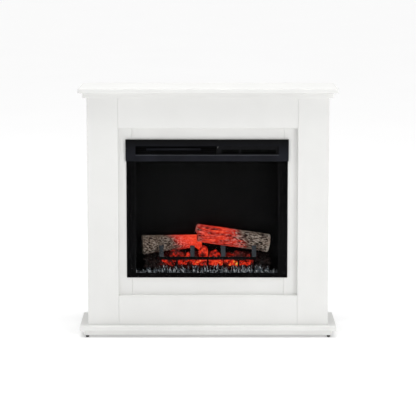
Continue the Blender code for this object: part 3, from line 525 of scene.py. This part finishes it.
def make_louvre():
    """Outlet grille: a thin frame with slanted blades, and a lip before the blower's mouth."""
    low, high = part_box("outlet_louvre")
    blower_low, blower_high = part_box("blower_housing")
    setback, edge = 0.8 * MM, 0.3 * MM
    y0 = low.y + setback
    y1 = y0 + SHEET
    shape = bmesh.new()
    for z0, z1 in ((low.z, low.z + PLATE_LAP), (high.z - PLATE_LAP, high.z)):
        add_box(shape, (low.x, y0, z0), (high.x, y1, z1))
    for x0, x1 in ((low.x, low.x + PLATE_LAP), (high.x - PLATE_LAP, high.x)):
        add_box(shape, (x0, y0, low.z + PLATE_LAP), (x1, y1, high.z - PLATE_LAP))
    round_edges(shape, shape.edges, edge, 2)
    place("outlet_frame", shape, "casing_steel", stands_for=["outlet_louvre"], smooth=40)

    # Blades that lean back, so that nothing behind them is seen from in front
    blades = bmesh.new()
    reach, pitch, half_sheet = 6.2 * MM, 7.4 * MM, 0.5 * MM
    half_depth = reach * 0.72
    lean = Matrix.Rotation(math.radians(46), 4, "X")
    for number in range(int((high.z - low.z - PLATE_LAP) / pitch)):
        z = low.z + PLATE_LAP * 0.7 + number * pitch
        blade = add_box(
            blades,
            (low.x + PLATE_LAP, -half_depth, -half_sheet),
            (high.x - PLATE_LAP, half_depth, half_sheet),
        )
        at = Matrix.Translation((0, y1 + reach * 0.62, z + reach * 0.5))
        bmesh.ops.transform(blades, matrix=at @ lean, verts=blade)
    round_edges(blades, blades.edges, edge, 2)
    place("outlet_blades", blades, "casing_steel", smooth=40)

    # A rolled lip in the middle of the mouth, in front of the blades
    lip = bmesh.new()
    lip_front, lip_bottom, overrun = y0 - 0.5 * MM, low.z + 24 * MM, 4 * MM
    section = [(0.4, 0.0), (0.0, 2.0), (0.2, 7.5), (0.7, 10.5)]
    points = [
        lip.verts.new((blower_low.x, lip_front + y * MM, lip_bottom + z * MM)) for y, z in section
    ]
    edges = [lip.edges.new(pair) for pair in zip(points, points[1:])]
    grown = bmesh.ops.extrude_edge_only(lip, edges=edges)["geom"]
    moved = [v for v in grown if isinstance(v, bmesh.types.BMVert)]
    length = blower_high.x - blower_low.x + overrun
    bmesh.ops.translate(lip, vec=(length, 0, 0), verts=moved)
    bmesh.ops.recalc_face_normals(lip, faces=lip.faces)
    made = place("outlet_lip", lip, "casing_steel", finish=finishes["header_steel"], smooth=50)
    body = made.modifiers.new("sheet", "SOLIDIFY")
    body.thickness = 0.4 * MM
    body.offset = 0


def make_controls():
    """Soft-edged, slightly dished caps on short stems, for the three buttons."""
    cap_depth, stem, stem_inset = 5 * MM, 2.5 * MM, 2 * MM
    for word in ("flame", "low_heat", "high_heat"):
        low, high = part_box(f"{word}_button")
        shape = bmesh.new()
        cap = add_box(shape, low, (high.x, low.y + cap_depth, high.z))
        face = min(
            {f for v in cap for f in v.link_faces}, key=lambda f: f.calc_center_median().y
        )
        bmesh.ops.inset_individual(shape, faces=[face], thickness=1.2 * MM, depth=-0.3 * MM)
        round_edges(shape, shape.edges, 0.5 * MM, 3)
        middle = (low.x + high.x) / 2
        add_box(
            shape,
            (middle - stem, low.y + cap_depth, low.z + stem_inset),
            (middle + stem, high.y, high.z - stem_inset),
        )
        # The caps take the near-black copy of the black ABS, which is painted shade for their
        # recessed windows
        place(
            f"{word}_cap",
            shape,
            "black_plastic",
            f"{word}_key",
            [f"{word}_button"],
            finish=shaded_cap_plastic,
            smooth=40,
        )


def make_glass():
    """The pane with ground edges, and the black border fired on its back."""
    corner_radius, ground_edge = 5 * MM, 0.5 * MM
    low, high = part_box("front_glass")
    shape = bmesh.new()
    add_box(shape, low, high)
    lower = [
        e
        for e in shape.edges
        if all(v.co.z < low.z + 1e-5 for v in e.verts)
        and abs(e.verts[0].co.x - e.verts[1].co.x) < 1e-5
    ]
    round_edges(shape, lower, corner_radius, 5)
    sharp = [e for e in shape.edges if e.calc_face_angle(0) > 0.9]
    round_edges(shape, sharp, ground_edge, 2)
    even_normals(place("glass_pane", shape, "front_glass", stands_for=["front_glass"], smooth=40))

    room_low, room_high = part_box("casing_back")
    side, bottom_height, top_height, inset = 2.5 * MM, 19.5 * MM, 3 * MM, 0.6 * MM
    window_x = (room_low.x + side, room_high.x - side)
    bottom = low.z + bottom_height
    y0, y1 = high.y + 0.06 * MM, high.y + 0.2 * MM
    border = bmesh.new()
    add_box(border, (low.x + inset, y0, low.z + inset), (window_x[0], y1, high.z))
    add_box(border, (window_x[1], y0, low.z + inset), (high.x - inset, y1, high.z))
    add_box(border, (window_x[0], y0, low.z + inset), (window_x[1], y1, bottom))
    add_box(border, (window_x[0], y0, high.z - top_height), (window_x[1], y1, high.z))
    place("glass_border", border, "front_glass", finish=ink)


def clamp(value):
    return max(0.0, min(1.0, value))


def smooth_step(low, high, value):
    """0 at low, 1 at high, and soft at both; low may be the larger one."""
    share = clamp((value - low) / (high - low))
    return share * share * (3 - 2 * share)


def log_ends(name):
    """The middle and radius of each end of a CAD log, left end first."""
    places = {tuple(round(c, 6) for c in v.co) for v in nodes[name].data.vertices}
    places = [Vector(p) for p in places]
    middle_x = sum(p.x for p in places) / len(places)
    found = []
    for group in (
        [p for p in places if p.x < middle_x],
        [p for p in places if p.x >= middle_x],
    ):
        centre = sum(group, Vector()) / len(group)
        found.append((centre, max((p - centre).length for p in group)))
    return found


def log_layers(shape):
    """The values that the logs' material reads at each point."""
    return [shape.verts.layers.float.new(name) for name in ("ridge", "glow", "calm")]


def trunk(name, rings, steps, seed, grain_long, step_depth, glow_at):
    """A bark-covered log between a CAD log's two ends.

    The profile is turned about the log's axis, then its skin is pushed in and out by ridged noise
    that runs along the grain: the lower grain_long is, the longer the scales. step_depth sets back
    the lower half of the left end.
    glow_at gives how strongly the skin glows, and how calm the glow is, for a share of the
    trunk's length, how far it faces up, and two noises.
    """
    grain_round, ring_pitch = 215, 2.1 * MM
    bark_depth, swell_depth = 3.0 * MM, 2.0 * MM
    end_length, end_depth = 4 * MM, 2.2 * MM  # how the bark thins out towards a cut end
    skin_from = 0.97  # points further in than this share of the radius belong to the cut ends
    step_share, bare_tone = 0.12, 0.78
    (start, r0), (end, r1) = log_ends(name)
    run = end - start
    length = run.length
    outline = [(r0 * k / 8, 0.0) for k in range(8)]
    outline += [(r0 + (r1 - r0) * k / rings, length * k / rings) for k in range(rings + 1)]
    outline += [(r1 * k / 8, length) for k in reversed(range(8))]
    shape = turned(outline, steps)
    ridge_layer, glow_layer, calm_layer = log_layers(shape)
    turn = run.to_track_quat("Z", "Y").to_matrix().to_4x4()
    to_place = Matrix.Translation(start) @ turn
    up = (turn.inverted() @ Vector((0, 0, 1, 0))).xyz
    offset = Vector((seed * 7.3, seed * 3.1, seed * 5.7))
    for point in shape.verts:
        x, y, along = point.co
        radius = math.hypot(x, y)
        share = along / length
        full = r0 + (r1 - r0) * share
        inward = radius / full
        out = Vector((x, y, 0)) / radius if radius > 1e-6 else Vector((0, 0, 0))
        upward = out.dot(up)
        # Bark: scales about 5 mm wide and 10 to 16 mm long, over slow swells of the trunk
        spot = Vector((x * grain_round, y * grain_round, along * grain_long)) + offset
        scales = 1 - abs(noise.noise(spot)) * 2.2
        fine = noise.noise(spot * 2.7)
        swell = noise.noise(Vector((x * 22, y * 22, along * 11)) + offset)
        ridge = clamp(0.25 + 0.55 * scales + 0.35 * fine)
        if inward > skin_from:
            depth = (0.5 - ridge) * bark_depth - swell * swell_depth
            trim = min(1.0, min(share, 1 - share) * length / end_length)
            point.co -= out * (depth + (1 - trim) * end_depth)
        else:
            # Cut ends: growth rings and a rough saw face
            rings_cut = math.sin(radius / ring_pitch * math.tau + swell * 3)
            rough = noise.noise(Vector((x * 180, y * 180, seed)))
            point.co.z += (0.25 * rings_cut + 0.7 * rough) * MM * (1 if share > 0.5 else -1)
            ridge = 0.62 + 0.18 * rings_cut + 0.15 * rough
        if step_depth and share < step_share:
            height = Vector((x, y, 0)).dot(up) / full
            ease = clamp((0.05 - height) / 0.1)
            point.co.z += step_depth * ease * (1 - share / step_share)
        # The bark stops short of the right end and leaves a pale band
        bare = smooth_step(0.955, 0.975, share)
        point[ridge_layer] = ridge + (bare_tone - ridge) * bare
        point[glow_layer], point[calm_layer] = glow_at(share, upward, swell, fine)
    bmesh.ops.transform(shape, matrix=to_place, verts=shape.verts)
    return shape


def make_logs():
    """The two logs, glowing where they cross, and a broken branch."""

    def left_glow(share, upward, swell, fine):
        glow = smooth_step(0.40, 0.80, share + 0.12 * swell + 0.12 * upward + 0.12 * fine)
        glow *= 1 - 0.30 * smooth_step(0.35, 0.95, upward) * smooth_step(1.05, 0.55, share)
        return glow, smooth_step(0.45, 0.66, share + 0.12 * upward)

    def right_glow(share, upward, swell, fine):
        glow = 1 - smooth_step(0.43, 0.66, share + 0.12 * swell + 0.14 * fine)
        stub = smooth_step(0.0, 0.14, share + 0.03 * fine)
        return 0.82 * glow * (0.45 + 0.55 * stub), 0.0

    left = trunk("left_log", 150, 120, 1, 105, 0.0, left_glow)
    place("left_log_bark", left, "log_resin", stands_for=["left_log"], smooth=70)
    right = trunk("right_log", 180, 120, 2, 62, 9 * MM, right_glow)
    place("right_log_bark", right, "log_resin", stands_for=["right_log"], smooth=70)

    # A broken branch that hooks down from the inner end of the left log
    end, _ = log_ends("left_log")[1]
    hook = bmesh.new()
    bmesh.ops.create_icosphere(hook, subdivisions=5, radius=1.0)
    ridge_layer, glow_layer, calm_layer = log_layers(hook)
    for point in hook.verts:
        rough = noise.noise(point.co * 2.5)
        fine = noise.noise(point.co * 9)
        point.co *= 1 + 0.16 * rough + 0.05 * fine
        point[ridge_layer] = 0.5 + 0.5 * fine
        point[glow_layer] = 0.95 + 0.3 * rough
        point[calm_layer] = 0.8
    size = Matrix.Diagonal((13 * MM, 12 * MM, 21 * MM, 1))
    lean = Matrix.Rotation(math.radians(-24), 4, "Y")
    spot = Matrix.Translation(end + Vector((-12, -20, -12)) * MM)
    bmesh.ops.transform(hook, matrix=spot @ lean @ size, verts=hook.verts)
    place("left_log_branch", hook, "log_resin", smooth=70)


def lump(shape, layer, at, size, heat, seed, detail):
    """One coal: a ball beaten into hollows and pits, a little warmer where it bulges."""
    made = bmesh.ops.create_icosphere(shape, subdivisions=detail, radius=1.0)["verts"]
    offset = Vector((seed * 1.7, seed * 2.9, seed * 0.7))
    for point in made:
        big = noise.noise(point.co * 1.3 + offset)
        pits = noise.noise(point.co * 4.0 + offset)
        reach = 1 + 0.28 * big + 0.10 * pits
        point[layer] = max(0.0, heat * (0.8 + 0.5 * big))
        point.co = Vector(at) + point.co * Vector(size) * reach


def make_embers():
    """The coal bed: rows of small coals, big mounds behind the grate, and one hot spot."""
    low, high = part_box("ember_bed")
    grate_low, grate_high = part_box("grate")
    draw = random.Random(11)
    shape = bmesh.new()
    layer = shape.verts.layers.float.new("coal_warmth")
    middle_x = (grate_low.x + grate_high.x) / 2
    half = (grate_high.x - grate_low.x) / 2
    side = 8 * MM  # bare strip at each end of the bed
    bed_y, bed_z = low.y - 30 * MM, low.z - 6 * MM  # where a row's depth and height start

    def heat_at(x):
        """Warm over the grate's length, cooler towards its left end, cold past its ends."""
        fade = max(0.0, 1 - (abs(x - middle_x) / (half * 1.02)) ** 6)
        return fade * (1 - 0.35 * smooth_step(-0.25, -0.7, (x - middle_x) / half))

    # Small coals, in rows that climb from the front to the back: depth, height and warmth of a row
    per_row, count = 32, 0
    for depth, rise, warmth in (
        (33, 29, 0.15),
        (37, 40, 0.92),
        (43, 50, 1.0),
        (54, 59, 0.8),
        (68, 68, 0.35),
        (84, 74, 0.2),
    ):
        for number in range(per_row):
            share = (number + 0.5) / per_row
            x = low.x + side + (high.x - low.x - 2 * side) * share + draw.uniform(-4, 4) * MM
            warm = heat_at(x) * warmth * draw.choice((0.45, 0.8, 0.95, 1.0, 1.1))
            lump(
                shape,
                layer,
                (
                    x,
                    bed_y + (depth + draw.uniform(-2, 2)) * MM,
                    bed_z + (rise + draw.uniform(-3, 3)) * MM,
                ),
                (draw.uniform(7, 12) * MM, draw.uniform(6, 9) * MM, draw.uniform(6, 10) * MM),
                heat=warm,
                seed=count,
                detail=2,
            )
            count += 1
    # Big mounds between the uprights: place across the bed, top above the bar, half width, warmth
    bar_top = sorted({round(v.co.z, 5) for v in nodes["grate"].data.vertices})[2]
    for across, rise, wide, warm in (
        (-0.64, 25, 27, 0.38),
        (-0.40, 14, 10, 0.80),
        (-0.085, 41, 18, 0.80),
        (0.145, 24, 20, 0.68),
        (0.63, 19, 27, 0.34),
        (0.83, 7, 9, 0.55),
        (-0.90, -2, 9, 0.60),
    ):
        tall = (12 + rise * 0.45) * MM
        lump(
            shape,
            layer,
            (middle_x + across * half, grate_high.y + 15 * MM, bar_top + rise * MM - tall),
            (wide * MM, 12 * MM, tall),
            heat=warm,
            seed=count,
            detail=4,
        )
        count += 1
    # One hot spot low between the coals
    lump(
        shape,
        layer,
        (middle_x + 0.605 * half, grate_high.y + 1 * MM, low.z + 31 * MM),
        (6 * MM, 3 * MM, 10 * MM),
        heat=1.7,
        seed=count,
        detail=3,
    )
    place("ember_coals", shape, "ember_resin", stands_for=["ember_bed"], smooth=50)


def make_grate():
    """Cast fret: square bar, four uprights with caps, and three legs."""
    low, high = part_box("grate")
    width, lap, edge = 17 * MM, 1 * MM, 0.8 * MM
    cap_height, cap_lap, leg_half = 8 * MM, 1 * MM, 4 * MM
    levels = sorted({round(v.co.z, 5) for v in nodes["grate"].data.vertices})
    _, bar_low, bar_high, _ = levels
    shape = bmesh.new()
    bar = bmesh.new()
    add_box(bar, (low.x, low.y, bar_low), (high.x, high.y, bar_high))
    first, last = low.x + lap + width / 2, high.x - lap - width / 2
    pitch = (last - first) / 3
    for number in range(4):
        x = first + number * pitch
        add_box(
            shape,
            (x - width / 2, low.y + 0.6 * MM, bar_high),
            (x + width / 2, high.y - 0.4 * MM, high.z - 3 * MM),
        )
        add_box(
            shape,
            (x - width / 2 - cap_lap, low.y, high.z - cap_height),
            (x + width / 2 + cap_lap, high.y, high.z),
        )
    for number in range(3):
        x = first + (number + 0.5) * pitch
        add_box(
            bar,
            (x - leg_half, low.y + 0.5 * MM, low.z),
            (x + leg_half, high.y - 0.5 * MM, bar_low),
        )
    round_edges(shape, shape.edges, edge, 2)
    round_edges(bar, bar.edges, edge, 2)
    place("grate_uprights", shape, "grate_iron", stands_for=["grate"], smooth=40)
    place("grate_bar", bar, "grate_iron", finish=finishes["casing_steel"], smooth=40)


def make_chips():
    """Broken clear glass: a bed of small pieces with long splinters standing in it."""
    low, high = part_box("glass_chips")
    draw = random.Random(5)
    shape = bmesh.new()
    width = high.x - low.x
    splinters, crumbs = 150, 420
    for number in range(splinters):
        x = low.x + width * (number + draw.uniform(0.1, 0.9)) / splinters
        middle = 1 - abs((x - (low.x + high.x) / 2) / (width / 2))
        tall = draw.uniform(14, 26) + 24 * min(1.0, middle * 3.6) * draw.random() ** 1.1
        base = draw.uniform(2.0, 4.6) * MM
        lean = Matrix.Rotation(math.radians(draw.gauss(0, 17)), 4, "Y")
        nod = Matrix.Rotation(math.radians(draw.uniform(-14, 14)), 4, "X")
        spin = Matrix.Rotation(draw.uniform(0, math.tau), 4, "Z")
        flat = Matrix.Diagonal((1, draw.uniform(0.35, 0.8), 1, 1))
        at = Matrix.Translation((x, draw.uniform(low.y + 4 * MM, high.y - 4 * MM), low.z))
        up = Matrix.Translation((0, 0, tall * MM / 2))
        bmesh.ops.create_cone(
            shape,
            cap_ends=True,
            segments=draw.choice((3, 4, 5)),
            radius1=base,
            radius2=base * draw.uniform(0.05, 0.3),
            depth=tall * MM,
            matrix=at @ lean @ nod @ up @ spin @ flat,
        )
    for _ in range(crumbs):
        x = low.x + width * draw.random()
        size = draw.uniform(1.5, 4.0) * MM
        turn = Matrix.Rotation(draw.uniform(0, math.tau), 4, "X")
        turn = turn @ Matrix.Rotation(draw.uniform(0, math.tau), 4, "Z")
        y = draw.uniform(low.y + 2 * MM, high.y - 2 * MM)
        z = low.z + size * 0.8 + draw.uniform(0, 3) * MM
        bmesh.ops.create_cone(
            shape,
            cap_ends=True,
            segments=4,
            radius1=size,
            radius2=size * 0.6,
            depth=size,
            matrix=Matrix.Translation((x, y, z)) @ turn,
        )
    place("glass_splinters", shape, "glass_chips", stands_for=["glass_chips"])

    tray = bmesh.new()
    end, sheet, tall = 1 * MM, 1.2 * MM, 7 * MM
    add_box(tray, (low.x + end, low.y, low.z), (high.x - end, low.y + sheet, low.z + tall))
    round_edges(tray, tray.edges, 0.4 * MM, 2)
    place("chip_tray_edge", tray, "glass_chips", finish=frosted_edge, smooth=40)


def screw_head(shape, at, axis, radius=3.5 * MM):
    """A pan head with a cross cut, its flat side at a point and its dome along an axis."""
    turn = Vector(axis).to_track_quat("Z", "Y").to_matrix().to_4x4()
    to_place = Matrix.Translation(at) @ turn
    head = bmesh.new()
    bmesh.ops.create_cone(
        head,
        cap_ends=True,
        segments=24,
        radius1=radius,
        radius2=radius,
        depth=radius * 0.6,
        matrix=Matrix.Translation((0, 0, radius * 0.3)),
    )
    rim = [e for e in head.edges if all(v.co.z > radius * 0.5 for v in e.verts)]
    round_edges(head, rim, radius * 0.3, 3)
    top = max(head.faces, key=lambda f: f.calc_center_median().z)
    bmesh.ops.inset_individual(head, faces=[top], thickness=radius * 0.3, depth=0)
    bmesh.ops.inset_individual(head, faces=[top], thickness=radius * 0.05, depth=-radius * 0.25)
    bmesh.ops.transform(head, matrix=to_place, verts=head.verts)
    mesh = bpy.data.meshes.new("screw")
    head.to_mesh(mesh)
    head.free()
    shape.from_mesh(mesh)
    bpy.data.meshes.remove(mesh)


def make_screws():
    """Pan heads on the casing's back, on the insert's angles and on the wall brackets."""
    shape = bmesh.new()
    inset, bracket_sheet = 9 * MM, 2 * MM
    low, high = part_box("casing_back")
    for x in (low.x + inset, (low.x + high.x) / 2, high.x - inset):
        for z in (low.z + inset, high.z - 4 * MM):
            screw_head(shape, (x, high.y, z), (0, 1, 0))
    for x in (low.x + inset, high.x - inset):
        screw_head(shape, (x, high.y, (low.z + high.z) / 2), (0, 1, 0))
    for word, side in (("left", -1), ("right", 1)):
        low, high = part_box(f"insert_bracket_{word}")
        outer = low.x if side < 0 else high.x
        for z in (low.z + 14 * MM, high.z - 14 * MM):
            screw_head(shape, (outer - side * 12 * MM, low.y + bracket_sheet, z), (0, 1, 0))
            face = high.x - bracket_sheet if side < 0 else low.x + bracket_sheet
            screw_head(shape, (face, high.y - 12 * MM, z), (side, 0, 0))
        low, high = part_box(f"wall_bracket_{word}")
        for x in (low.x + 10 * MM, high.x - 10 * MM):
            screw_head(shape, (x, low.y + 14 * MM, low.z + 34 * MM - 0.3 * MM), (0, 0, -1))
    place("small_screws", shape, "zinc_steel", smooth=40)


make_boards()
make_screen_skirt()
make_feet()
make_header()
make_louvre()
make_controls()
make_glass()
make_logs()
make_embers()
make_grate()
make_chips()
make_screws()


# ---------------------------------------------------------------- studio


def make_camera():
    """A long lens above the piece, looking slightly down."""
    distance, height, tilt, lens = 8.0, 1.615, math.radians(8.0), 177.8
    data = bpy.data.cameras.new("camera")
    data.sensor_width = 36.0
    data.lens = lens
    data.clip_end = 100.0
    made = bpy.data.objects.new("camera", data)
    made.location = (0.0, -distance, height)
    made.rotation_euler = (math.pi / 2 - tilt, 0.0, 0.0)
    bpy.context.scene.collection.objects.link(made)
    bpy.context.scene.camera = made


def softbox(name, place_m, aim, size, power):
    """A white rectangular light that the camera doesn't see."""
    data = bpy.data.lights.new(name, "AREA")
    data.shape = "RECTANGLE"
    data.size, data.size_y = size
    data.energy = power
    made = bpy.data.objects.new(name, data)
    made.location = place_m
    made.rotation_euler = (Vector(aim) - Vector(place_m)).to_track_quat("-Z", "Y").to_euler()
    made.visible_camera = False
    bpy.context.scene.collection.objects.link(made)


def make_studio():
    """White floor with a back light, even white surroundings and five softboxes."""
    scene = bpy.context.scene
    scene.view_settings.view_transform = "Standard"
    world = bpy.data.worlds.new("white_studio")
    world.use_nodes = True
    scene.world = world
    tree = world.node_tree
    ground = tree.nodes["Background"]
    ground.inputs["Color"].default_value = (1, 1, 1, 1)
    seen = node(tree, "LightPath").outputs["Is Camera Ray"]
    lighting, backdrop = 0.475, 1.05
    tree.links.new(span(tree, seen, lighting, backdrop), ground.inputs["Strength"])

    softbox("right_softbox", (2.9, -3.7, 1.15), (0, -0.1, 0.5), (0.9, 1.6), 31)
    softbox("left_softbox", (-3.1, -3.6, 1.15), (0, -0.1, 0.5), (0.9, 1.6), 3)
    softbox("top_softbox", (0.0, 0.1, 4.2), (0, 0.1, 0), (3.6, 3.0), 60)
    softbox("hearth_softbox", (0.0, -0.75, 4.2), (0, -0.75, 0), (3.6, 1.0), 74)
    softbox("front_softbox", (0.0, -2.4, 3.9), (0, -0.1, 0.4), (3.2, 1.6), 13)

    shape = bmesh.new()
    bmesh.ops.create_circle(shape, cap_ends=True, segments=96, radius=40.0)
    mesh = bpy.data.meshes.new("floor")
    shape.to_mesh(mesh)
    shape.free()
    values = {"Roughness": 0.8, "Specular_IOR_Level": 0.1, "Emission_Strength": 0.52}
    stops = [(0.3, "#F4F4F4"), (0.7, "#F7F7F7")]
    made, tree, shader = patterned("backlit_white_acrylic", 900, stops, **values)
    # Its back light grows away from the piece, where the softboxes no longer reach
    where = node(tree, "TexCoord").outputs["Object"]
    away = node(tree, "VectorMath", {0: where}, operation="LENGTH").outputs["Value"]
    near, far = 1.2, 3.6
    tone = ramp(tree, span(tree, away, 0, 1, near, far), [(0, "#A6A6A6"), (1, "#FFFFFF")])
    tree.links.new(tone, shader.inputs["Emission Color"])
    mesh.materials.append(made)
    floor = bpy.data.objects.new("floor", mesh)
    scene.collection.objects.link(floor)


make_camera()
make_studio()
